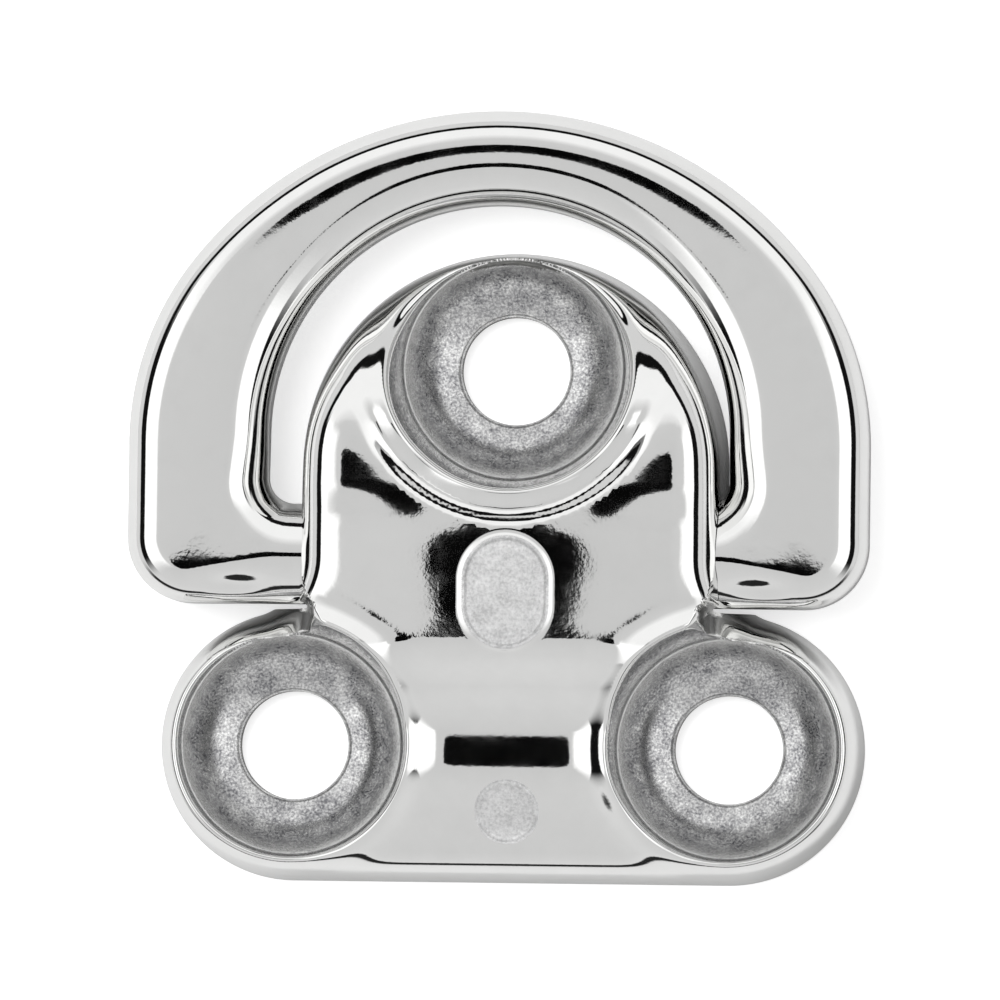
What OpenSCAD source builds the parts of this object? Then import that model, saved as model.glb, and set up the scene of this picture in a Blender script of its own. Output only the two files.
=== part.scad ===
// Folding pad eye for M8 deck screws: a forged base plate whose hump bridges
// the straight bar of a closed forged D-ring, which folds flat round the nose.
// The origin is the centre of the screw circle, on the deck. +Y points to the
// nose screw, +X to the right and +Z up out of the deck. Millimetres.

/* [Screws] */
// Pitch circle of the three deck screws
screw_pcd = 39; // [38.5:0.1:39.5]
// Clearance hole for the screw's shank
screw_hole_d = 8.4; // [8.2:0.1:8.8]
// Widest diameter of the screw's countersunk head
countersink_d = 16; // [15.6:0.1:16.4]
// Height of the countersink's rim above the deck
seat_h = 5.2; // [5:0.1:5.4]
// Diameter of the recess at the level of the rim
recess_d = 17.5; // [17:0.1:18]
// Draft of the recess's wall, in degrees
recess_draft = 20; // [15:1:25]

/* [Base plate] */
// Radius of the two lobes at the outer screws
lobe_r = 10.5; // [10.3:0.1:10.8]
// Thickness of the lobes and of the flange between them
lobe_h = 5.6; // [5.5:0.1:5.8]
// Radius of the nose, and half the width of the waist
nose_r = 16.6; // [16.4:0.1:16.7]
// Distance from the screw circle's centre to the nose's centre
nose_y = 12.1; // [11.8:0.1:12.4]
// Thickness of the nose
nose_h = 6.4; // [6.2:0.1:6.6]
// Height of the hump that bridges the bar
hump_h = 12.4; // [12:0.1:12.8]
// Rounding of the lobes' and the flange's upper edge
lobe_edge = 2; // [1.8:0.1:2.2]
// Rounding of the upper edge of the nose and the hump
hump_edge = 1.4; // [1.2:0.1:1.6]
// Radius of the hollow where the waist runs out into a lobe
flare_r = 4.5; // [4.2:0.1:4.8]

/* [Hinge] */
// Diameter of the bar, and thickness of the whole ring
bar_d = 7.8; // [7.6:0.1:8]
// Distance from the screw circle's centre to the hinge axis
bar_y = 5; // [4.9:0.05:5.1]
// Height of the hinge axis above the deck
bar_z = 4.75; // [4.7:0.05:4.9]
// Radial clearance of the loose forged hinge
hinge_gap = 0.3; // [0.25:0.05:0.4]
// Angle from folded flat to resting on the lobes, in degrees
stop_angle = 135; // [120:1:136]

/* [Ring] */
// Half of the ring's width outside
ring_half_w = 28.7; // [28.5:0.1:29]
// Radius of the eye's round end
eye_r = 17.85; // [17.8:0.05:17.95]
// Distance from the screw circle's centre to that end's centre
eye_y = 14.3; // [14.1:0.1:14.5]
// Width of the ring at its crown
crown_w = 7.3; // [7.1:0.1:7.5]
// Radius of the two shoulders, outside
shoulder_r = 23.1; // [22.9:0.1:23.3]
// Radius of the two corners at the ends of the bar
corner_r = 5; // [4.9:0.1:5.2]
// Rounding of the ring's long edges
ring_edge = 2.8; // [2.5:0.1:3]
// How far the ring has slid along its bar, to the left
ring_slid = 1; // [0:0.1:1]

/* [Keeper] */
// Thickness of the plate that closes the channel
keeper_t = 0.5; // [0.4:0.05:0.5]
// Length of the keeper along the bar
keeper_l = 25; // [24:0.5:26]
// Width of the keeper across the bar
keeper_w = 16.6; // [16:0.2:17]
// Corner radius of the keeper
keeper_corner = 2; // [1.5:0.1:2.5]
// Diameter of the rivets' shanks
rivet_d = 2; // [1.8:0.1:2.2]
// Diameter of the rivets' flush heads
rivet_head_d = 3.2; // [3:0.1:3.4]
// Depth that the rivets are driven into the base
rivet_l = 3.5; // [3:0.1:4]

/* [Pads] */
// Length of the two friction pads
pad_l = 22; // [20:0.5:23]
// Running clearance between the pads and the bar
pad_gap = 0.06; // [0.05:0.01:0.09]
// Distance from under the axis to a pad's inner edge
pad_inner = 1.6; // [1.4:0.1:1.8]

/* [Marks] */
// Length of the plain cartouche on the hump
cartouche_l = 8.4; // [8:0.1:9]
// Width of the cartouche
cartouche_w = 6.6; // [6:0.1:7]
// Diameter of the plain round mark on the flange
stamp_d = 5; // [4.6:0.1:5.4]
// Depth of both marks
mark_depth = 0.2; // [0.15:0.05:0.3]

/* [Hidden] */
$fn = 96;
// Overlap of solids that are joined, and overrun of cuts
eps = 0.02;
overrun = 1;
// Steps along each slope of the hump
slope_steps = 16;

// Screw places: the nose first, then the left and the right lobe
screw_r = screw_pcd / 2;
lobe_x = screw_r * cos(30);
lobe_y = -screw_r * sin(30);
screws = [[0, screw_r], [-lobe_x, lobe_y], [lobe_x, lobe_y]];
front_y = lobe_y - lobe_r;
cone_h = (countersink_d - screw_hole_d) / 2;

// The hump's level top and the feet of its two slopes
crest_front = -5;
crest_back = 9.4;
foot_front = -12.8;
foot_back = 17;
// The back slope ends just under the nose's top
foot_sink = 0.4;

// Centre of the hollow flare: it touches the waist and the lobe
flare_x = nose_r + flare_r;
flare_y = lobe_y + sqrt(pow(lobe_r + flare_r, 2) - pow(flare_x - lobe_x, 2));

bar_r = bar_d / 2;
channel_r = bar_r + hinge_gap;
// Depth that the legs' room cuts into the waist
waist_relief = 0.1;

// The ring's outline: the shoulders run into a wider crown at a 3-4-5 slope,
// so that both curves end on one plane without rounding
seam_cos = 0.8;
seam_sin = 0.6;
seam_angle = acos(seam_cos);
curve_step = (ring_half_w - shoulder_r) / seam_cos;
crown_r = shoulder_r + curve_step;
crown_y = eye_y + eye_r + crown_w - crown_r;
shoulder_x = curve_step * seam_cos;
shoulder_y = crown_y + curve_step * seam_sin;
corner_x = ring_half_w - corner_r;
corner_y = bar_y - bar_r + corner_r;

// The keeper lies in a recess, a little above the deck
deck_gap = 0.1;
keeper_gap = 0.05;
keeper_z = deck_gap;
keeper_top = keeper_z + keeper_t;
rivet_x = 9.2;
rivet_dy = 6.3;
rivet_gap = 0.02;
rivets = [for (sx = [-1, 1], sy = [-1, 1]) [sx * rivet_x, bar_y + sy * rivet_dy]];

pad_clear = 0.1;
pad_top = bar_z - 1.2;

mark_y = 2;
stamp_y = -14.8;

steel = "silver";
polished = "gainsboro";

// Half of a cosine wave: 0 to 1 as t goes from 0 to 1
function ease(t) = (1 - cos(180 * t)) / 2;

// Height of the hump's front slope and back slope at a step from 0 to 1
function front_slope(t) = [foot_front + t * (crest_front - foot_front),
    lobe_h - foot_sink + (hump_h - lobe_h + foot_sink) * ease(t)];
function back_slope(t) = [crest_back + t * (foot_back - crest_back),
    hump_h - (hump_h - nose_h + foot_sink) * ease(t)];

// Half of a slab's section, from the axis out to r, with its outer edge rounded at both faces
module slab_section(r, h, edge) {
    translate([0, -h / 2]) square([r - edge, h]);
    translate([0, edge - h / 2]) square([r, h - 2 * edge]);
    for (s = [-1, 1]) translate([r - edge, s * (h / 2 - edge)]) circle(edge);
}

// Half of a disc's section, standing on the deck, with its upper edge rounded
module disc_section(r, h, edge) {
    square([r - edge, h]);
    square([r, h - edge]);
    translate([r - edge, h - edge]) circle(edge);
}

// Lays a section drawn in Y and Z along X, centred on x = 0
module along_x(length) {
    rotate([90, 0, 90]) translate([0, 0, -length / 2]) linear_extrude(length) children();
}

// Lays a section drawn in X and Z along +Y, starting at y = 0
module along_y(length) {
    rotate([90, 0, 0]) translate([0, 0, -length]) linear_extrude(length) children();
}

// Plan of the hump: the waist, closed by the nose's round end
module waist_plan() {
    translate([0, nose_y]) circle(nose_r);
    translate([-nose_r, foot_front]) square([2 * nose_r, nose_y - foot_front]);
}

// The hump: its lengthwise profile, its rounded sides and its plan have to agree
module hump() {
    intersection() {
        linear_extrude(hump_h + overrun) waist_plan();
        along_x(4 * nose_r) polygon(concat(
            [[foot_back, 0], [foot_front, 0]],
            [for (i = [0:slope_steps]) front_slope(i / slope_steps)],
            [for (i = [0:slope_steps]) back_slope(i / slope_steps)]));
        translate([0, foot_front - overrun, 0])
            along_y(foot_back - foot_front + 2 * overrun) hump_sides();
    }
}

// Section across the hump, with both upper edges rounded
module hump_sides() {
    translate([-nose_r, 0]) square([2 * nose_r, hump_h - hump_edge]);
    translate([hump_edge - nose_r, 0]) square([2 * (nose_r - hump_edge), hump_h]);
    for (s = [-1, 1]) translate([s * (nose_r - hump_edge), hump_h - hump_edge]) circle(hump_edge);
}

// Flange between the lobes, with its front edge rounded
module flange() {
    along_x(2 * lobe_x) {
        translate([front_y + lobe_edge, 0]) square([-front_y - lobe_edge, lobe_h]);
        translate([front_y, 0]) square([lobe_edge * 2, lobe_h - lobe_edge]);
        translate([front_y + lobe_edge, lobe_h - lobe_edge]) circle(lobe_edge);
    }
}

// Web in the hollow between the waist and one lobe
module flare() {
    linear_extrude(lobe_h) difference() {
        polygon([[nose_r - overrun, lobe_y], [lobe_x, lobe_y],
            [lobe_x, lobe_y + lobe_r - eps], [flare_x, flare_y], [nose_r - overrun, flare_y]]);
        translate([flare_x, flare_y]) circle(flare_r);
    }
}

// Screw hole: clearance bore, 90-degree countersink and drafted recess above it
module screw_cut() {
    recess_h = hump_h - seat_h + overrun;
    translate([0, 0, -overrun]) cylinder(h = seat_h + overrun, d = screw_hole_d);
    translate([0, 0, seat_h - cone_h])
        cylinder(h = cone_h + eps, d1 = screw_hole_d, d2 = countersink_d + 2 * eps);
    translate([0, 0, seat_h])
        cylinder(h = recess_h, d1 = recess_d, d2 = recess_d + 2 * recess_h * tan(recess_draft));
}

// Channel for the bar: round under the hump and open to the deck
module channel() {
    translate([0, bar_y, 0]) along_x(4 * nose_r) {
        translate([0, bar_z]) circle(channel_r);
        translate([-channel_r, -overrun]) square([2 * channel_r, bar_z + overrun]);
    }
}

// Room beside the waist for the ring's legs to lean over, up to the stop
module leg_swing() {
    reach = 60;
    tangent = channel_r * [cos(stop_angle + 90), sin(stop_angle + 90)];
    along = reach * [cos(stop_angle), sin(stop_angle)];
    for (s = [-1, 1]) translate([s * (2 * nose_r - waist_relief), bar_y, bar_z])
        along_x(2 * nose_r) polygon([[0, 0], tangent, tangent + along, [reach, reach], [reach, 0]]);
}

// Outline of the keeper, larger by grow all round
module keeper_plan(grow) {
    l = keeper_l + 2 * grow;
    w = keeper_w + 2 * grow;
    r = keeper_corner + grow;
    translate([0, bar_y]) {
        square([l - 2 * r, w], center = true);
        square([l, w - 2 * r], center = true);
        for (sx = [-1, 1], sy = [-1, 1])
            translate([sx * (l / 2 - r), sy * (w / 2 - r)]) circle(r);
    }
}

// Plain cartouche: a straight-sided oval, sunk into the hump's top
module cartouche_plan() {
    straight = cartouche_l - cartouche_w;
    square([cartouche_w, straight], center = true);
    for (s = [-1, 1]) translate([0, s * straight / 2]) circle(d = cartouche_w);
}

// Forged base plate
module base_plate() {
    color(polished) difference() {
        union() {
            hump();
            flange();
            translate([0, nose_y, 0]) rotate_extrude() disc_section(nose_r, nose_h, hump_edge);
            for (s = [-1, 1]) translate([s * lobe_x, lobe_y, 0])
                rotate_extrude() disc_section(lobe_r, lobe_h, lobe_edge);
            flare();
            mirror([1, 0, 0]) flare();
        }
        for (p = screws) translate([p[0], p[1], 0]) screw_cut();
        channel();
        leg_swing();
        translate([0, 0, -overrun])
            linear_extrude(keeper_top + keeper_gap + overrun) keeper_plan(keeper_gap);
        for (p = rivets) translate([p[0], p[1], 0])
            cylinder(h = keeper_top + rivet_l + rivet_gap, d = rivet_d + 2 * rivet_gap);
        translate([0, mark_y, hump_h - mark_depth]) linear_extrude(overrun) cartouche_plan();
        translate([0, stamp_y, lobe_h - mark_depth]) cylinder(h = overrun, d = stamp_d);
    }
}

// Right half of the ring's round end: half of the crown, and one shoulder
module ring_end() {
    far = 2 * crown_r;
    intersection() {
        translate([0, crown_y, 0]) rotate([0, 0, seam_angle])
            rotate_extrude(angle = 90) slab_section(crown_r, bar_d, ring_edge);
        translate([0, 0, -far]) cube(2 * far);
    }
    translate([shoulder_x, shoulder_y, 0]) difference() {
        rotate_extrude(angle = 90) slab_section(shoulder_r, bar_d, ring_edge);
        rotate([0, 0, seam_angle]) translate([-far, 0, -far]) cube(2 * far);
    }
}

// Outer body of the ring, before the eye is cut, with the hinge axis along X at z = 0
module ring_slab() {
    for (s = [0, 1]) mirror([s, 0, 0]) ring_end();
    translate([0, corner_y, 0]) along_y(shoulder_y - corner_y) {
        slab_section(ring_half_w, bar_d, ring_edge);
        mirror([1, 0]) slab_section(ring_half_w, bar_d, ring_edge);
    }
    for (s = [0, 1]) mirror([s, 0, 0]) translate([corner_x, corner_y, 0]) rotate([0, 0, -90])
        rotate_extrude(angle = 90) intersection() {
            slab_section(corner_r, bar_d, bar_r - eps);
            translate([0, -bar_r]) square([corner_r, bar_d]);
        }
    along_x(2 * corner_x) {
        translate([bar_y, -bar_r]) square([corner_y - bar_y, bar_d]);
        translate([bar_y, 0]) circle(bar_r);
    }
}

// Half of the eye's section: its wall flares out at both faces, which rounds the ring's inner edge
module eye_section() {
    difference() {
        translate([0, -bar_d]) square([eye_r + ring_edge, 2 * bar_d]);
        translate([eye_r, ring_edge - bar_r]) square([2 * ring_edge, bar_d - 2 * ring_edge]);
        for (s = [-1, 1]) translate([eye_r + ring_edge, s * (bar_r - ring_edge)]) circle(ring_edge);
    }
}

// What the eye removes: a half-round end and straight sides, down to the bar
module eye() {
    translate([0, eye_y, 0]) rotate_extrude(angle = 180) eye_section();
    difference() {
        translate([0, bar_y, 0]) along_y(eye_y - bar_y) {
            eye_section();
            mirror([1, 0]) eye_section();
        }
        translate([0, bar_y, 0]) along_x(4 * eye_r) circle(bar_r);
    }
}

// Closed forged D-ring
module d_ring() {
    color(polished) translate([-ring_slid, 0, bar_z]) difference() {
        ring_slab();
        eye();
    }
}

// Plate that closes the channel from below
module keeper_plate() {
    color(steel) difference() {
        translate([0, 0, keeper_z]) linear_extrude(keeper_t) keeper_plan(0);
        for (p = rivets) translate([p[0], p[1], keeper_z])
            cylinder(h = keeper_t, d1 = rivet_head_d + 2 * rivet_gap, d2 = rivet_d + 2 * rivet_gap);
    }
}

// Four flush rivets that hold the keeper
module keeper_rivets() {
    color(steel) for (p = rivets) translate([p[0], p[1], keeper_z]) {
        cylinder(h = keeper_t, d1 = rivet_head_d, d2 = rivet_d);
        cylinder(h = keeper_t + rivet_l, d = rivet_d);
    }
}

// Two acetal pads in the channel's lower corners, which stop the bar from rattling
module friction_pads() {
    wall = channel_r - pad_clear;
    color("dimgray") for (s = [-1, 1]) translate([0, bar_y, bar_z]) along_x(pad_l) difference() {
        translate([s * (wall + pad_inner) / 2, (keeper_top + pad_top) / 2 - bar_z])
            square([wall - pad_inner, pad_top - keeper_top], center = true);
        circle(bar_r + pad_gap);
    }
}

base_plate();
d_ring();
keeper_plate();
keeper_rivets();
friction_pads();
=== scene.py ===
import math

import bmesh
import bpy
import numpy as np
from mathutils import Matrix, Vector
from mathutils.geometry import delaunay_2d_cdt


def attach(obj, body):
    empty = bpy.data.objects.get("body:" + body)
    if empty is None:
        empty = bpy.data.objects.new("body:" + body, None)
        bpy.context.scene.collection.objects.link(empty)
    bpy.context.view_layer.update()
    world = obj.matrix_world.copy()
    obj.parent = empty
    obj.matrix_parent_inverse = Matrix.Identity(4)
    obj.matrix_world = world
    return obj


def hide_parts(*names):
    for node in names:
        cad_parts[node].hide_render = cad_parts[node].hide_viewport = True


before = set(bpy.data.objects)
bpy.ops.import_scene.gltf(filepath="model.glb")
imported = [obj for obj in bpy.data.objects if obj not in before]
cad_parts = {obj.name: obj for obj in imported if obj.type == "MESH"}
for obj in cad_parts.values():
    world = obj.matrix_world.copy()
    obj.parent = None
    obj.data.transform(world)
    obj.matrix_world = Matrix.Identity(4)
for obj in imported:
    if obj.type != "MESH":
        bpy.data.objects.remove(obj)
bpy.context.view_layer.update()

bpy.ops.object.select_all(action="DESELECT")

# Camera: high over the fitting with a long lens, leaning a little to the right and to the front.
camera_aim = Vector((-0.00124, 0.00953, 0))
camera_lean = Vector((0.063, -0.038, 1))
camera_roll = math.radians(0.75)
bpy.ops.object.camera_add(location=camera_aim + camera_lean)
camera = bpy.context.object
camera.name = "camera"
camera.data.lens = 464
back = camera_lean.normalized()
up = Vector((-math.sin(camera_roll), math.cos(camera_roll), 0))
right = up.cross(back).normalized()
up = back.cross(right)
camera.matrix_world = Matrix.Translation(camera_aim + camera_lean) @ Matrix(
    (right, up, back)).transposed().to_4x4()
bpy.context.scene.camera = camera
bpy.context.scene.view_settings.view_transform = "Standard"

# Studio: a tent with a grey top panel, white walls, a small dark opening overhead, and dark
# seams between its panels, which polished steel shows as thin black lines. Camera rays that
# miss everything see plain white. Places on a panel are degrees down from overhead.


def node(tree, kind, settings=None, **inputs):
    """Add one node. Settings are its attributes, or the stops of its grey ramp as (place, grey).

    Inputs are values or links, named as in the node, or i0, i1 and so on by number.
    """
    made = tree.nodes.new("ShaderNode" + kind)
    for key, value in (settings or {}).items():
        if key == "stops":
            elements = made.color_ramp.elements
            while len(elements) < len(value):
                elements.new(0.5)
            for element, (place, grey) in zip(elements, value):
                element.position = place
                element.color = (grey, grey, grey, 1)
        else:
            setattr(made, key, value)
    for key, value in inputs.items():
        key = int(key[1:]) if key[0] == "i" and key[1:].isdigit() else key.replace("_", " ")
        if isinstance(value, bpy.types.NodeSocket):
            tree.links.new(value, made.inputs[key])
        else:
            made.inputs[key].default_value = value
    return made


world = bpy.data.worlds.new("studio_tent")
bpy.context.scene.world = world
world.use_nodes = True
tree = world.node_tree
tree.nodes.clear()
way = node(tree, "TexCoord").outputs["Generated"]
parts = node(tree, "SeparateXYZ", Vector=way).outputs
from_top = node(tree, "Math", {"operation": "ARCCOSINE"}, i0=parts["Z"]).outputs[0]
turn = node(tree, "Math", {"operation": "DIVIDE"}, i0=from_top, i1=math.pi).outputs[0]

grey_top, seam, horizon = 0.64, 0.006, 0.72
sides = [(0, grey_top), (12, 0.68), (16, 1.25), (55, 1.25), (57, seam), (74, seam),
    (76, horizon), (95, horizon)]
front = [(0, grey_top), (60, 0.7), (78, 0.75), (80, 0.02), (88, 0.02), (92, horizon)]
behind = [(0, grey_top), (18, 0.68), (34, 1.0), (62, 1.0), (63, seam), (73, seam),
    (74, horizon), (95, horizon)]
shades = []
for panel in (sides, front, behind):
    stops = [(degrees / 180, grey) for degrees, grey in panel]
    shades.append(node(tree, "ValToRGB", {"stops": stops}, i0=turn).outputs["Color"])
sides, front, behind = shades
flat_r = node(tree, "Math", {"operation": "SINE"}, i0=from_top).outputs[0]
lengthwise = node(tree, "Math", {"operation": "DIVIDE"}, i0=parts["Y"], i1=flat_r).outputs[0]
smooth = {"interpolation_type": "SMOOTHSTEP"}
to_front = node(tree, "MapRange", smooth, Value=lengthwise, i1=-0.35, i2=-0.75).outputs[0]
to_back = node(tree, "MapRange", smooth, Value=lengthwise, i1=0.35, i2=0.75).outputs[0]
colours = {"data_type": "RGBA"}
panels = node(tree, "Mix", colours, Factor=to_front, i6=sides, i7=front).outputs[2]
panels = node(tree, "Mix", colours, Factor=to_back, i6=panels, i7=behind).outputs[2]
opening = Vector((-0.063, -0.062, 1)).normalized()
off = node(tree, "VectorMath", {"operation": "DISTANCE"}, i0=way, i1=opening).outputs["Value"]
past_rim = node(tree, "MapRange", smooth, Value=off, i1=0.08, i2=0.084).outputs[0]
dark = (0.002, 0.002, 0.002, 1)
panels = node(tree, "Mix", colours, Factor=past_rim, i6=dark, i7=panels).outputs[2]
camera_ray = node(tree, "LightPath").outputs["Is Camera Ray"]
white = (1, 1, 1, 1)
panels = node(tree, "Mix", colours, Factor=camera_ray, i6=panels, i7=white).outputs[2]
background = node(tree, "Background", Color=panels)
tree.links.new(background.outputs[0], node(tree, "OutputWorld").inputs["Surface"])

# Floor: one plain pale colour. It glows a little for camera rays, so that it comes out white.


def hex_colour(code):
    """The linear values that shaders take, from a sRGB hex value."""
    parts = [int(code[i:i + 2], 16) / 255 for i in (0, 2, 4)]
    return [c / 12.92 if c <= 0.04045 else ((c + 0.055) / 1.055) ** 2.4 for c in parts] + [1]


bpy.ops.mesh.primitive_plane_add(size=4, location=(0, 0, -0.00005))
floor = bpy.context.object
floor.name = "floor"
floor.data.name = "floor"
paper = bpy.data.materials.new("white_paper")
paper.use_nodes = True
tree = paper.node_tree
shader = tree.nodes["Principled BSDF"]
shader.inputs["Base Color"].default_value = hex_colour("CBCBCB")
shader.inputs["Roughness"].default_value = 0.9
shader.inputs["Emission Color"].default_value = white
seen = node(tree, "LightPath").outputs["Is Camera Ray"]
glow = node(tree, "Math", {"operation": "MULTIPLY"}, i0=seen, i1=0.6).outputs[0]
tree.links.new(glow, shader.inputs["Emission Strength"])
floor.data.materials.append(paper)

# Soft light: one wide disk, up and to the left, which the steel doesn't mirror.
bpy.ops.object.light_add(type="AREA", location=(-0.25, 0.2, 0.6))
lamp = bpy.context.object
lamp.name = "soft_light"
lamp.data.shape = "DISK"
lamp.data.size = 0.5
lamp.data.energy = 4
lamp.rotation_euler = (-lamp.location).to_track_quat("-Z", "Y").to_euler()
lamp.visible_glossy = False

# Base plate: one drop forging of 316 stainless, mirror polished. It has a hump over the hinge
# channel, a nose and two lobes with screw recesses, and raised rims round the recesses. Its
# mirror shows errors of a hundredth of a millimetre, so its upper side is a formula of height
# by place with exact normals, which pulled and bevelled faces can't give. Lengths are in mm.
MM = 0.001


def step(t, low, high):
    """A smooth step from 0 at low to 1 at high."""
    t = np.clip((t - low) / (high - low), 0, 1)
    return t * t * (3 - 2 * t)


def blend_low(a, b, soft):
    """The lower of two heights, blended where they come within soft of each other."""
    h = np.clip(0.5 + 0.5 * (b - a) / soft, 0, 1)
    return b + (a - b) * h - soft * h * (1 - h)


screws = [(0.0, 19.5), (-16.887, -9.75), (16.887, -9.75)]
nose_r, nose_y = 16.6, 12.1
lobe_x, lobe_y, lobe_r = 16.887, -9.75, 10.5
flare_r = 4.5
flare_x = nose_r + flare_r
flare_y = lobe_y + math.sqrt((lobe_r + flare_r) ** 2 - (flare_x - lobe_x) ** 2)
front_y = lobe_y - lobe_r
bore_r, lip_r, seat_r, seat_z = 4.2, 0.4, 8.6, 5.2
wall_draft = 0.14
lobe_z = 5.5
leg_in, leg_round = 15.3, 2.8
profile = [(-21, 5.2, 0.1), (-18.5, 5.6, 0.2), (-15, 6.55, 0.33), (-11.6, 7.74, 0.1), (-10, 7.84, 0.054),
    (-8.6, 7.94, 0.1), (-5.2, 9.72, 0.6), (-1.7, 11.84, 0.085), (2.4, 12.1, 0.052), (6, 12.26, 0.035),
    (9, 12.2, -0.09), (13, 11.0, -0.5), (17, 8.8, -0.62), (20, 7.1, -0.45), (23, 6.3, -0.15), (31, 6.1, 0.0)]


def inside(x, y):
    """Distance from the plate's outline, more than zero on the steel."""
    x = abs(x)
    flare = np.hypot(x - flare_x, y - flare_y) - flare_r
    lobe = lobe_r - np.hypot(x - lobe_x, y - lobe_y)
    side = (lobe_x - flare_x) * (y - flare_y) - (lobe_y - flare_y) * (x - flare_x)
    low = np.where(x > lobe_x, np.where(side > 0, lobe, flare), np.minimum(flare, y - front_y))
    nose = nose_r - np.hypot(x, y - nose_y)
    return np.where(y > nose_y, nose, np.where(y > flare_y, nose_r - x, low))


def draft(x, y):
    """Tangent of the outer wall's draft: less at the waist, where the ring's legs pass."""
    waist = step(y, 0, 4.5) * (1 - step(y, 9, 20))
    return 0.1 + 0.07 * (1 - step(y, -20, -14)) - 0.03 * waist


def edge_r(y):
    """Radius of the rounding between the wall and the top."""
    return 1.7 + 0.5 * step(y, -2, 5) * (1 - step(y, 20, 27))


def hermite(y):
    """Height of the profile along the middle, as cubics through its places, heights and slopes."""
    z = np.zeros_like(y)
    for (y0, z0, s0), (y1, z1, s1) in zip(profile, profile[1:]):
        t = (y - y0) / (y1 - y0)
        span = y1 - y0
        curve = ((1 + 2 * t) * (1 - t) ** 2 * z0 + t * (1 - t) ** 2 * span * s0
            + t * t * (3 - 2 * t) * z1 + t * t * (t - 1) * span * s1)
        z = np.where((y >= y0) & (y < y1), curve, z)
    return z


def top(x, y):
    """Height of the forging's upper side before its edges and recesses are made."""
    far = abs(x)
    edge = inside(x, y)

    # The profile runs across the hump and fades out to the flat lobes at its sides.
    hump = step(y, -8, 4)
    fade_mid, fade_half = 13 + 3.5 * hump, 5 - 4.45 * hump ** 0.7
    shoulder = step(far, 4, 13)
    profile_y = y - 5.4 * shoulder * step(y, 4, 14)
    fade = step(far, fade_mid - fade_half, fade_mid + fade_half)
    z = lobe_z + (hermite(profile_y) - lobe_z) * (1 - fade)

    # The hump is crowned across, less over its shoulders, which stay nearly level.
    crowning = np.where(far < 8, far ** 2, 16 * far - 64) / (300 + 40 * step(y, 0, 6.5))
    z = z - crowning * step(y, -6, 0) * (1 - 0.7 * step(y, 6.5, 10.5))
    z = z + 0.03 * shoulder * np.clip(y - 8, 0, 7)

    # A shallow collar goes round the nose's recess, and the hump falls off towards its edge.
    r = np.hypot(x, y - screws[0][1])
    z = z - 0.95 * (1 - step(r, 10.9, 12.5)) * (1 - step(y, 11, 18))
    z = z - 0.9 * np.clip(1 - edge / 4, 0, 1) ** 2 * step(y, -1, 4)

    # Raised rims round the recesses: radius of the crest, softness and height of each.
    rims = ((9.5, 1.0, 0.9), (9.0, 1.05, 0.95), (9.0, 1.05, 0.95))
    for (sx, sy), (crest, soft, high) in zip(screws, rims):
        r = np.hypot(x - sx, y - sy)
        z = z + high * np.exp(-0.5 * ((r - crest) / soft) ** 2) * step(edge, -0.6, 1.2)

    # The raised ring's legs lean at 45 degrees here, so the steel stays under a slope with a
    # fillet of their own inner rounding. Behind the waist the slope ends at the outer wall.
    past = far - leg_in
    round_in = np.sqrt(np.clip(leg_round ** 2 - np.clip(leg_round - past, 0, leg_round) ** 2, 0, None))
    fillet = 3.95 - 1.41 * round_in + 9 * np.maximum(-past, 0)
    clear_of_legs = 12 * step(y, 0.5, 2.6) * (1 - step(far, 16.2, 16.5))
    under_leg = 3.5 - np.minimum(y, 2.6) + fillet + clear_of_legs
    return np.where((far > 16.3) & (y > flare_y), z, blend_low(z, under_leg, 0.8))


def eased(z, d, lean, radius):
    """Height at a distance d from the foot of a drafted wall that is rounded into a top at height z."""
    cos = 1 / np.sqrt(1 + lean ** 2)
    centre_d = (z - radius) * lean + radius / cos
    arc = z - radius + np.sqrt(np.clip(radius ** 2 - np.clip(centre_d - d, 0, radius) ** 2, 0, None))
    return np.where(d >= centre_d, z, np.where(d >= centre_d - radius * cos, arc, d / lean))


def body(x, y):
    """Height with the drafted outer wall and its rounded edge."""
    return eased(top(x, y), inside(x, y), draft(x, y), edge_r(y))


mark_y, mark_w, mark_l = 2.0, 6.6, 8.6
stamp_r, stamp_y = 2.5, -14.8


def cartouche(x, y):
    """Distance inside the plain oval mark on the hump."""
    half = (mark_l - mark_w) / 2
    return mark_w / 2 - np.hypot(x, np.maximum(abs(y - mark_y) - half, 0))


def surface(x, y):
    """Height of the finished upper side: the body with its three screw recesses."""
    z = body(x, y)
    for sx, sy in screws:
        r = np.hypot(x - sx, y - sy)
        t = np.clip((r - bore_r) / (seat_r - bore_r), 0, 1)
        lip = np.clip(bore_r + lip_r - r, 0, lip_r)
        worn_lip = (lip_r - np.sqrt(lip_r ** 2 - lip ** 2)) * 1.2
        dish = seat_z - 3.2 + 0.8 * t + 2.4 * t ** 2.6 - worn_lip
        rise = np.maximum(z - seat_z, 0.02)
        rim_round = np.minimum(0.5, 0.8 * rise)
        lipped = np.minimum(z, seat_z + eased(rise, r - seat_r, wall_draft, rim_round))
        z = np.where(r < seat_r, np.minimum(z, dish), lipped)
    oval = cartouche(x, y)
    sunk = 0.16 * step(oval, 0.1, 0.35)
    edge_bead = 0.1 * np.exp(-(oval / 0.22) ** 2)
    inner_bead = 0.06 * np.exp(-((oval - 1.0) / 0.16) ** 2)
    z = z - sunk + edge_bead + inner_bead
    stamp = stamp_r - np.hypot(x, y - stamp_y)
    stamp_bead = 0.06 * np.exp(-((stamp - 0.3) / 0.14) ** 2)
    return z - 0.07 * step(stamp, 0.0, 0.2) + stamp_bead


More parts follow.
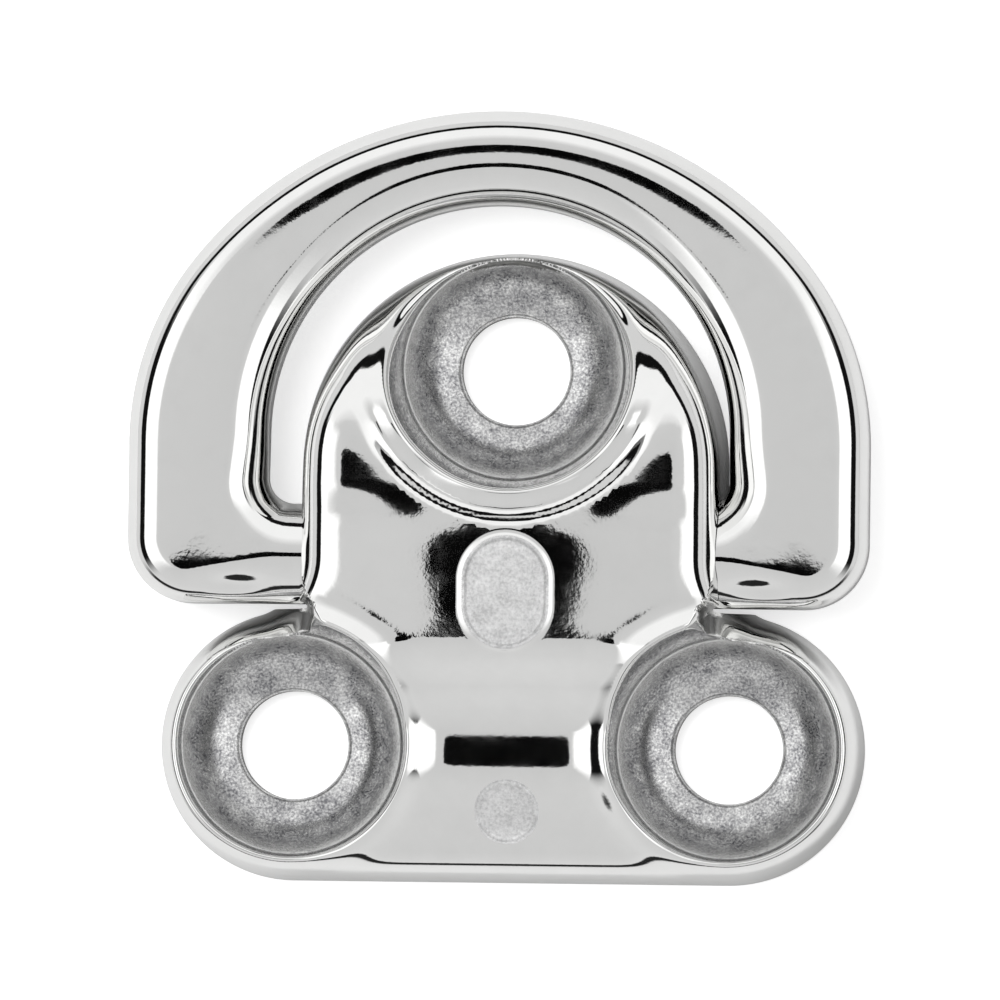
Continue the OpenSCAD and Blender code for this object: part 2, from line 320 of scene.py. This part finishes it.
def upward(x, y):
    """Unit normals of that surface."""
    h = 0.004
    dx = (surface(x + h, y) - surface(x - h, y)) / (2 * h)
    dy = (surface(x, y + h) - surface(x, y - h)) / (2 * h)
    n = np.stack([-dx, -dy, np.ones_like(dx)], -1)
    return n / np.linalg.norm(n, axis=-1, keepdims=True)


def arc(cx, cy, r, start, end, spacing=0.3):
    """Points of an arc as x, y and the outward direction. Angles are in degrees."""
    count = max(2, int(abs(math.radians(end - start)) * r / spacing))
    angles = np.radians(start + (end - start) * np.arange(count) / count)
    return [(cx + r * math.cos(a), cy + r * math.sin(a), math.cos(a), math.sin(a)) for a in angles]


def line(x0, y0, x1, y1, nx, ny, spacing=0.3):
    """Points of a straight stretch as x, y and the outward direction."""
    count = int(math.hypot(x1 - x0, y1 - y0) / spacing)
    return [(x0 + (x1 - x0) * i / count, y0 + (y1 - y0) * i / count, nx, ny) for i in range(count)]


# The outline is worked out on the right half and mirrored. Its arcs meet at the angle meet.
meet = math.degrees(math.atan2(flare_y - lobe_y, flare_x - lobe_x))
half = (line(0, front_y, lobe_x, front_y, 0, -1) + arc(lobe_x, lobe_y, lobe_r, -90, meet)
    + [(x, y, -a, -b) for x, y, a, b in arc(flare_x, flare_y, flare_r, 180 + meet, 180, 0.2)]
    + line(nose_r, flare_y, nose_r, nose_y, 1, 0) + arc(0, nose_y, nose_r, 0, 90))
half.append((0, nose_y + nose_r, 0, 1))
outline = np.array(half + [(-x, y, -nx, ny) for x, y, nx, ny in half[-2:0:-1]])
ox, oy, onx, ony = outline.T
loops = [outline[:, :2]]
lean, radius = draft(ox, oy), edge_r(oy)
centre_d = (top(ox - onx * 1.5, oy - ony * 1.5) - radius) * lean + radius * np.sqrt(1 + lean ** 2)
for share in (0.3, 0.6):
    d = (centre_d - radius) * share
    loops.append(np.stack([ox - onx * d, oy - ony * d], -1))
for turned in range(6, 100, 4):
    d = centre_d - radius * math.cos(math.radians(turned))
    loops.append(np.stack([ox - onx * d, oy - ony * d], -1))
rims_at = []
for sx, sy in screws:
    radii = ([bore_r, 4.215, 4.26, 4.33, 4.42, 4.52, 4.6, 4.9, 5.4, 6.0, 6.6, 7.1]
        + [7.4, 7.7, 8.0, 8.2, 8.4, seat_r]
        + [seat_r + 0.045 * i for i in range(1, 26)] + [9.85, 10.0, 10.2, 10.4])
    for index, r in enumerate(radii):
        turn_by = 0.5 * (index % 2)
        count = 120 if r < 7.2 else 200
        angles = 2 * math.pi * (np.arange(count) + (turn_by if r > bore_r else 0)) / count
        rims_at.append((r, sx, sy, np.stack([sx + r * np.cos(angles), sy + r * np.sin(angles)], -1)))
taken = {}
points, edges = [], []


def add_points(places, gap):
    """Adds the points that lie farther than gap from those already there, and gives their numbers."""
    numbers = []
    for px, py in places:
        cell = (int(px // 0.3), int(py // 0.3))
        near = any((px - points[n][0]) ** 2 + (py - points[n][1]) ** 2 < gap * gap
            for i in (-1, 0, 1) for j in (-1, 0, 1) for n in taken.get((cell[0] + i, cell[1] + j), ()))
        if not near:
            taken.setdefault(cell, []).append(len(points))
            numbers.append(len(points))
            points.append((float(px), float(py)))
    return numbers


outer_ring = add_points(loops[0], 0)
bores = [add_points(ring, 0) for r, sx, sy, ring in rims_at if r == bore_r]
for ring in [outer_ring] + bores:
    edges += [(a, b) for a, b in zip(ring, ring[1:] + ring[:1])]
for r, sx, sy, ring in rims_at:
    if r > bore_r:
        d = inside(ring[:, 0], ring[:, 1])
        if r <= seat_r:
            keep = d > 0.3
        else:
            keep = d > 0.06
        add_points(ring[keep], 0.012 if r < 4.6 else 0.03)
for loop in loops[1:]:
    free = np.ones(len(loop), bool)
    for sx, sy in screws:
        free &= np.hypot(loop[:, 0] - sx, loop[:, 1] - sy) > seat_r
    add_points(loop[free], 0.05)
for more in np.arange(-0.6, 1.5, 0.1):
    count = 170
    angles = 2 * math.pi * (np.arange(count) + 0.5 * (round(more * 10) % 2)) / count
    half = (mark_l - mark_w) / 2
    oval = np.stack([(mark_w / 2 - more) * np.cos(angles),
        mark_y + (mark_w / 2 - more) * np.sin(angles) + half * np.sign(np.sin(angles))], -1)
    add_points(oval, 0.06)
    add_points([(side * (mark_w / 2 - more), y) for side in (-1, 1)
        for y in np.arange(mark_y - half, mark_y + half, 0.15)], 0.06)
    stamp_line = np.stack([np.cos(angles), np.sin(angles)], -1) * (stamp_r - more)
    add_points(stamp_line + [0, stamp_y], 0.07)
gx, gy = np.meshgrid(np.arange(-28, 28, 0.36), np.arange(-21, 29.5, 0.31))
gx[::2] += 0.18
grid = np.stack([gx.ravel(), gy.ravel()], -1)
free = inside(grid[:, 0], grid[:, 1]) > 1.2
for sx, sy in screws:
    free &= np.hypot(grid[:, 0] - sx, grid[:, 1] - sy) > seat_r
add_points(grid[free], 0.2)

flat = [Vector(p) for p in points]
faces = delaunay_2d_cdt(flat, edges, [], 0, 1e-9)[2]
spot = np.array(points)
heights = surface(spot[:, 0], spot[:, 1])
ring_set = set(outer_ring)
verts = [(x, y, 0.0 if i in ring_set else z) for i, ((x, y), z) in enumerate(zip(points, heights))]
holes = [set(ring) for ring in bores]


def on_steel(face):
    """True for a triangle of the plate, false for one in a bore or outside the outline."""
    if any(hole.issuperset(face) for hole in holes):
        return False
    x, y = np.mean([points[i] for i in face], 0)
    return inside(x, y) > 0


upper = [tuple(face) for face in faces if on_steel(face)]
low_of = {n: n for n in outer_ring}
for ring in bores:
    for n in ring:
        low_of[n] = len(verts)
        verts.append((points[n][0], points[n][1], 0.0))
bore_faces = [(a, low_of[a], low_of[b], b) for ring in bores for a, b in zip(ring, ring[1:] + ring[:1])]
rim_numbers = outer_ring + sum(bores, [])
place = {n: i for i, n in enumerate(rim_numbers)}
under = delaunay_2d_cdt([Vector(points[n]) for n in rim_numbers],
    [(place[a], place[b]) for a, b in edges], [], 0, 1e-9)[2]
deck_faces = []
for face in under:
    face = [rim_numbers[i] for i in face]
    if on_steel(face):
        deck_faces.append(tuple(low_of[i] for i in reversed(face)))
mesh = bpy.data.meshes.new("forged_base")
mesh.from_pydata([(x * MM, y * MM, z * MM) for x, y, z in verts], [], upper + bore_faces + deck_faces)
base = bpy.data.objects.new("forged_base", mesh)
bpy.context.collection.objects.link(base)
mesh.polygons.foreach_set("material_index", [0] * len(upper) + [1] * (len(bore_faces) + len(deck_faces)))


def cut(target, tool, slot=1):
    """Cuts one closed mesh out of another. The new faces get that material slot."""
    tool.data.materials.clear()
    for _ in range(4):
        tool.data.materials.append(None)
    tool.data.polygons.foreach_set("material_index", [slot] * len(tool.data.polygons))
    bpy.context.view_layer.objects.active = target
    modifier = target.modifiers.new("cut", "BOOLEAN")
    modifier.operation = "DIFFERENCE"
    modifier.solver = "EXACT"
    modifier.object = tool
    bpy.ops.object.modifier_apply(modifier="cut")
    bpy.data.objects.remove(tool)


# The channel for the ring's bar is a round-topped slot, and the keeper's seat a square recess.
for _ in range(4):
    base.data.materials.append(None)
bar_y, bar_z, bar_r, channel_r = 5.0, 4.75, 3.9, 4.2
bpy.ops.mesh.primitive_cylinder_add(vertices=118, radius=channel_r * MM, depth=0.06,
    location=(0, bar_y * MM, bar_z * MM), rotation=(0, math.pi / 2, 0))
tool = bpy.context.object
bpy.ops.object.transform_apply()
for vertex in tool.data.vertices:
    if vertex.co.z < (bar_z - 0.001) * MM:
        vertex.co.y = (bar_y + math.copysign(channel_r, vertex.co.y - bar_y * MM)) * MM
        vertex.co.z = vertex.co.z - 2 * MM
cut(base, tool)
keeper_seat = (25.1 * MM, 16.7 * MM, 2.1 * MM)
bpy.ops.mesh.primitive_cube_add(size=1, location=(0, bar_y * MM, -0.4 * MM), scale=keeper_seat)
tool = bpy.context.object
bpy.ops.object.transform_apply()
cut(base, tool)

# Normals: the formula's own on the upper side, the channel's in its arch, flat elsewhere.
mesh = base.data
for polygon in mesh.polygons:
    polygon.use_smooth = True
count = len(mesh.loops)
loop_verts = np.zeros(count, int)
mesh.loops.foreach_get("vertex_index", loop_verts)
coords = np.zeros(len(mesh.vertices) * 3)
mesh.vertices.foreach_get("co", coords)
coords = coords.reshape(-1, 3) / MM
face_of = np.zeros(count, int)
for polygon in mesh.polygons:
    face_of[polygon.loop_start:polygon.loop_start + polygon.loop_total] = polygon.index
slots = np.array([p.material_index for p in mesh.polygons])[face_of]
flat_normals = np.array([tuple(p.normal) for p in mesh.polygons])[face_of]
corner = coords[loop_verts]
shape_normals = upward(coords[:, 0], coords[:, 1])[loop_verts]
arch = np.stack([np.zeros(count), bar_y - corner[:, 1], bar_z - corner[:, 2]], -1)
arch_r = np.linalg.norm(arch, axis=1)
arch = arch / np.maximum(arch_r, 1e-6)[:, None]
in_arch = (slots == 1) & (abs(arch_r - channel_r) < 0.02) & (abs(flat_normals[:, 0]) < 0.1)
steep = np.sum(flat_normals * shape_normals, axis=1) < 0.6
normals = np.where(in_arch[:, None], arch, flat_normals)
normals = np.where(((slots == 0) & ~steep)[:, None], shape_normals, normals)
mesh.normals_split_custom_set([tuple(n) for n in normals])


# Polished stainless: forged, then buffed to a mirror. Slow waves of the buffing bend the
# reflections a little and fine pits fray their edges, so that it reads as worked steel, not chrome.
def polished(name, wave=1.0):
    made = bpy.data.materials.new(name)
    made.use_nodes = True
    tree = made.node_tree
    shader = tree.nodes["Principled BSDF"]
    shader.inputs["Metallic"].default_value = 1
    place = node(tree, "TexCoord").outputs["Object"]
    smears = node(tree, "TexNoise", Vector=place, Scale=450, Detail=4, Roughness=0.6).outputs["Fac"]
    rough = node(tree, "MapRange", Value=smears, i1=0.35, i2=0.75, i3=0.025, i4=0.07).outputs[0]
    tree.links.new(rough, shader.inputs["Roughness"])
    dull, bright = hex_colour("EDEDEC"), hex_colour("F6F6F5")
    tint = node(tree, "Mix", colours, Factor=smears, i6=dull, i7=bright).outputs[2]
    tree.links.new(tint, shader.inputs["Base Color"])
    waves = node(tree, "TexNoise", Vector=place, Scale=260, Detail=2).outputs["Fac"]
    pits = node(tree, "TexNoise", Vector=place, Scale=3200, Detail=2).outputs["Fac"]
    bumps = node(tree, "Bump", Strength=0.15 * wave, Distance=0.00003, Height=waves)
    bumps = node(tree, "Bump", Strength=0.16 * wave, Distance=0.00001, Height=pits, Normal=bumps.outputs[0])
    tree.links.new(bumps.outputs[0], shader.inputs["Normal"])
    return made


# Satin stainless: the grainy skin of the die, blasted but never buffed. It scatters light into
# a soft speckled grey beside the mirror. Zones are for the recesses: a painted reflection in their
# colour, rings by the distance from the nearest screw hole, lighter near the hole and at the outer edge.
def satin(name, dark, light, rough_low, rough_high, grain=5200, painted_reflection_rings=False):
    made = bpy.data.materials.new(name)
    made.use_nodes = True
    tree = made.node_tree
    shader = tree.nodes["Principled BSDF"]
    shader.inputs["Metallic"].default_value = 1
    place = node(tree, "TexCoord").outputs["Object"]
    speckle = node(tree, "TexNoise", Vector=place, Scale=grain, Detail=5, Roughness=0.65).outputs["Fac"]
    patches = node(tree, "TexNoise", Vector=place, Scale=700, Detail=3).outputs["Fac"]
    mixed = node(tree, "Math", {"operation": "MULTIPLY_ADD"}, i0=patches, i1=0.45, i2=speckle).outputs[0]
    if painted_reflection_rings:
        flat_place = node(tree, "VectorMath", {"operation": "MULTIPLY"}, i0=place, i1=(1, 1, 0)).outputs[0]
        nearest = None
        for sx, sy in screws:
            axis = (sx * MM, sy * MM, 0)
            r = node(tree, "VectorMath", {"operation": "DISTANCE"}, i0=flat_place, i1=axis).outputs["Value"]
            if nearest is None:
                nearest = r
            else:
                nearest = node(tree, "Math", {"operation": "MINIMUM"}, i0=nearest, i1=r).outputs[0]
        zone = node(tree, "MapRange", Value=nearest, i1=0.004, i2=0.009).outputs[0]
        # Painted reflection: the ramp adds bright rings at the hole and the outer edge and a dark land
        # between.
        stops = [(0, 0.1), (0.12, 0.02), (0.3, 0), (0.5, 0), (0.72, 0), (0.8, 0.12), (0.9, 0.3), (1, 0.35)]
        painted_reflection_tone = node(tree, "ValToRGB", {"stops": stops}, i0=zone).outputs["Color"]
        mixed = node(tree, "Math", {"operation": "ADD"}, i0=mixed, i1=painted_reflection_tone).outputs[0]
    share = node(tree, "MapRange", Value=mixed, i1=0.55, i2=0.95).outputs[0]
    tint = node(tree, "Mix", colours, Factor=share, i6=hex_colour(dark), i7=hex_colour(light)).outputs[2]
    tree.links.new(tint, shader.inputs["Base Color"])
    rough = node(tree, "MapRange", Value=share, i3=rough_high, i4=rough_low).outputs[0]
    tree.links.new(rough, shader.inputs["Roughness"])
    bumps = node(tree, "Bump", Strength=0.35, Distance=0.00004, Height=speckle)
    tree.links.new(bumps.outputs[0], shader.inputs["Normal"])
    return made


base_steel = polished("mirror_polished_forging")
channel_steel = satin("blasted_channel", "6A6A69", "A9A9A7", 0.35, 0.55)
recess_steel = satin("satin_recess_painted_reflection", "77777B", "F2F2F1", 0.16, 0.3, painted_reflection_rings=True)
mark_steel = satin("frosted_mark", "D8D8D8", "FDFDFD", 0.5, 0.7, 4200)
# Slots: 0 polished upper side, 1 channel and underside, 2 recess floors, 3 the two marks.
for index, material in enumerate([base_steel, channel_steel, recess_steel, mark_steel]):
    base.data.materials[index] = material
centres = np.zeros(len(mesh.polygons) * 3)
mesh.polygons.foreach_get("center", centres)
centres = centres.reshape(-1, 3) / MM
slots = np.array([p.material_index for p in mesh.polygons])
for sx, sy in screws:
    r = np.hypot(centres[:, 0] - sx, centres[:, 1] - sy)
    slots = np.where((r < seat_r + 0.02) & (r > bore_r + 0.02) & (slots == 0)
        & (inside(centres[:, 0], centres[:, 1]) > 1.25), 2, slots)
marked = (cartouche(centres[:, 0], centres[:, 1]) > -0.05) | (
    np.hypot(centres[:, 0], centres[:, 1] - stamp_y) < stamp_r)
slots = np.where(marked & (slots == 0), 3, slots)
mesh.polygons.foreach_set("material_index", slots.tolist())
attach(base, "base")
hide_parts("base_plate")

# Ring: one closed forging of the same steel. Its top is nearly flat, its long edges are rounded,
# and between the legs it narrows to the round bar that turns in the base. It is lofted from
# stations round the eye, because the leg has to run into the round bar without a seam.
# It is slid 1 mm to the left on its bar.
ring_slid = -1.0
half_w, corner_r, eye_r, eye_y = 28.7, 5.0, 17.85, 14.3
shoulder_r, crown_w = 23.1, 7.3
curve_step = (half_w - shoulder_r) / 0.8
crown_r = shoulder_r + curve_step
crown_y = eye_y + eye_r + crown_w - crown_r
shoulder_x, shoulder_y = curve_step * 0.8, crown_y + curve_step * 0.6
corner_x, corner_y = half_w - corner_r, bar_y - bar_r + corner_r
eye_corner = 2.0


def reach(angle):
    """Point of the ring's outline on a ray from the centre of the eye's round end."""
    dx, dy = math.cos(angle), math.sin(angle)
    for cx, cy, r in ((0, crown_y, crown_r), (shoulder_x, shoulder_y, shoulder_r)):
        px, py = -cx, eye_y - cy
        b = px * dx + py * dy
        t = -b + math.sqrt(b * b - px * px - py * py + r * r)
        x, y = dx * t, eye_y + dy * t
        if cx == 0 and (y - crown_y) >= 0.6 * crown_r - 1e-9 and x <= 0.8 * crown_r + 1e-9:
            return x, y
    if y < shoulder_y:
        return half_w, eye_y + dy / dx * half_w
    return x, y


stations = []
for i in range(91):
    a = math.radians(90 - i)
    stations.append((reach(a), (eye_r * math.cos(a), eye_y + eye_r * math.sin(a))))
inner_low = bar_y + bar_r + eye_corner
for i in range(1, 17):
    t = i / 16
    stations.append(((half_w, eye_y + (corner_y - eye_y) * t), (eye_r, eye_y + (inner_low - eye_y) * t)))
for i in range(1, 25):
    a = -math.pi / 2 * i / 24
    stations.append(((corner_x + corner_r * math.cos(a), corner_y + corner_r * math.sin(a)),
        (eye_r - eye_corner + eye_corner * math.cos(a), inner_low + eye_corner * math.sin(a))))
for i in range(1, 31):
    t = i / 30
    stations.append(((corner_x * (1 - t), bar_y - bar_r), ((eye_r - eye_corner) * (1 - t), bar_y + bar_r)))
stations += [((-o[0], o[1]), (-n[0], n[1])) for o, n in stations[-2:0:-1]]


def drop(d, r):
    """How far a rounded edge of radius r falls at a distance d from the outline."""
    return r - np.sqrt(np.clip(r * r - np.clip(r - d, 0, r) ** 2, 0, None))


# Each station is a section from the outer outline to the eye, drawn above and below the middle.
# Near the crown it has shallow waves left by the die, and low on the bar's ends a lens is ground.
steps = 56
share = (1 - np.cos(np.pi * np.arange(steps + 1) / steps)) / 2
rows = []
outer_line = np.array([o for o, n in stations])
inner_line = np.array([n for o, n in stations])


def depth_out(x, y):
    """Distance from the ring's outer outline."""
    x = abs(x)
    corner = corner_r - np.hypot(np.maximum(x - corner_x, 0), np.maximum(corner_y - y, 0))
    crown = crown_r - np.hypot(x, y - crown_y)
    shoulder = shoulder_r - np.hypot(x - shoulder_x, y - shoulder_y)
    round_end = np.where(x * 0.6 < (y - crown_y) * 0.8, crown, shoulder)
    return np.where(y > shoulder_y, round_end, np.where(y > corner_y, half_w - x, corner))


def depth_in(x, y):
    """Distance from the outline of the ring's eye."""
    low = np.hypot(np.maximum(abs(x) - eye_r + eye_corner, 0), np.maximum(inner_low - y, 0)) - eye_corner
    return np.where(y > eye_y, np.hypot(x, y - eye_y) - eye_r, low)


for (ax, ay), (bx, by) in zip(outer_line, inner_line):
    x, y = ax + (bx - ax) * share, ay + (by - ay) * share
    crown = step(y, 26, 34)
    outer_d, inner_d = np.maximum(depth_out(x, y), 0), np.maximum(depth_in(x, y), 0)
    is_bar = step(-abs(x), -24.5, -17) * (1 - step(y, 9, 15))
    outer_round = 2.55 + 0.3 * crown + 1.35 * is_bar
    inner_round = 2.8 + 0.5 * crown + 1.1 * is_bar
    v = bar_r - drop(outer_d, outer_round) - drop(inner_d, inner_round)
    middle = outer_d / (outer_d + inner_d + 1e-9)
    dome = 0.1 * (2 * middle - 1) ** 2 * (1 - is_bar)
    die_waves = 0.06 * np.sin(3 * math.pi * middle) * step(y, 23, 33)
    v = v - dome + die_waves
    lens = np.exp(-((y - 2.6) / 0.75) ** 2 - ((abs(x) - 20.3) / 2.4) ** 2)
    v = np.maximum(v - 0.45 * lens * step(outer_d, 0.1, 0.9), 0)
    x, y = np.concatenate([x, x[::-1]]), np.concatenate([y, y[::-1]])
    v = np.concatenate([v, -v[::-1]])
    rows.append(np.stack([x + ring_slid, y, bar_z + v], -1))
grid = np.array(rows)
rows_n, cols_n = grid.shape[:2]
ahead = np.roll(grid, -1, 0) - np.roll(grid, 1, 0)
across = np.roll(grid, -1, 1) - np.roll(grid, 1, 1)
ring_normals = np.cross(ahead, across)
ring_normals /= np.maximum(np.linalg.norm(ring_normals, axis=2, keepdims=True), 1e-9)
numbers = np.arange(rows_n * cols_n).reshape(rows_n, cols_n)
ring_faces = [(int(numbers[i, j]), int(numbers[(i + 1) % rows_n, j]),
    int(numbers[(i + 1) % rows_n, (j + 1) % cols_n]), int(numbers[i, (j + 1) % cols_n]))
    for i in range(rows_n) for j in range(cols_n)]
mesh = bpy.data.meshes.new("forged_ring")
mesh.from_pydata([tuple(p * MM) for p in grid.reshape(-1, 3)], [], ring_faces)
ring = bpy.data.objects.new("forged_ring", mesh)
bpy.context.collection.objects.link(ring)
bm = bmesh.new()
bm.from_mesh(mesh)
volume = bm.calc_volume(signed=True)
bm.free()
if volume < 0:
    mesh.flip_normals()
    ring_normals = -ring_normals
for polygon in mesh.polygons:
    polygon.use_smooth = True
mesh.normals_split_custom_set_from_vertices([tuple(n) for n in ring_normals.reshape(-1, 3)])
mesh.materials.append(polished("mirror_polished_ring", 0.8))
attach(ring, "ring")
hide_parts("d_ring")

# Keeper plate: a thin stamped sheet of stainless, flush in the underside, that closes the
# channel under the bar. It keeps the dull finish of the rolling mill. The mesh is the CAD's.
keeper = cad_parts["keeper_plate"]
keeper.data.materials.clear()
keeper.data.materials.append(satin("mill_finish_sheet", "8A8A89", "BDBDBB", 0.3, 0.45))

# Keeper rivets: four stainless rivets, set and dressed flush with the sheet, so a little
# brighter than it. The meshes are the CAD's.
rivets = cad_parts["keeper_rivets"]
rivets.data.materials.clear()
rivets.data.materials.append(satin("rivet_steel", "8F8F8E", "C4C4C2", 0.25, 0.4))

# Friction pads: two extruded strips of black acetal, pressed into the channel's lower corners.
# The plastic has the faint mottle and soft sheen of a sawn strip. The meshes are the CAD's.
acetal = bpy.data.materials.new("black_acetal")
acetal.use_nodes = True
tree = acetal.node_tree
shader = tree.nodes["Principled BSDF"]
place = node(tree, "TexCoord").outputs["Object"]
marks = node(tree, "TexNoise", Vector=place, Scale=1800, Detail=3).outputs["Fac"]
tint = node(tree, "Mix", colours, Factor=marks, i6=hex_colour("141415"), i7=hex_colour("242426")).outputs[2]
tree.links.new(tint, shader.inputs["Base Color"])
rough = node(tree, "MapRange", Value=marks, i1=0.3, i2=0.7, i3=0.38, i4=0.55).outputs[0]
tree.links.new(rough, shader.inputs["Roughness"])
bumps = node(tree, "Bump", Strength=0.2, Distance=0.00003, Height=marks)
tree.links.new(bumps.outputs[0], shader.inputs["Normal"])
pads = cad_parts["friction_pads"]
pads.data.materials.clear()
pads.data.materials.append(acetal)
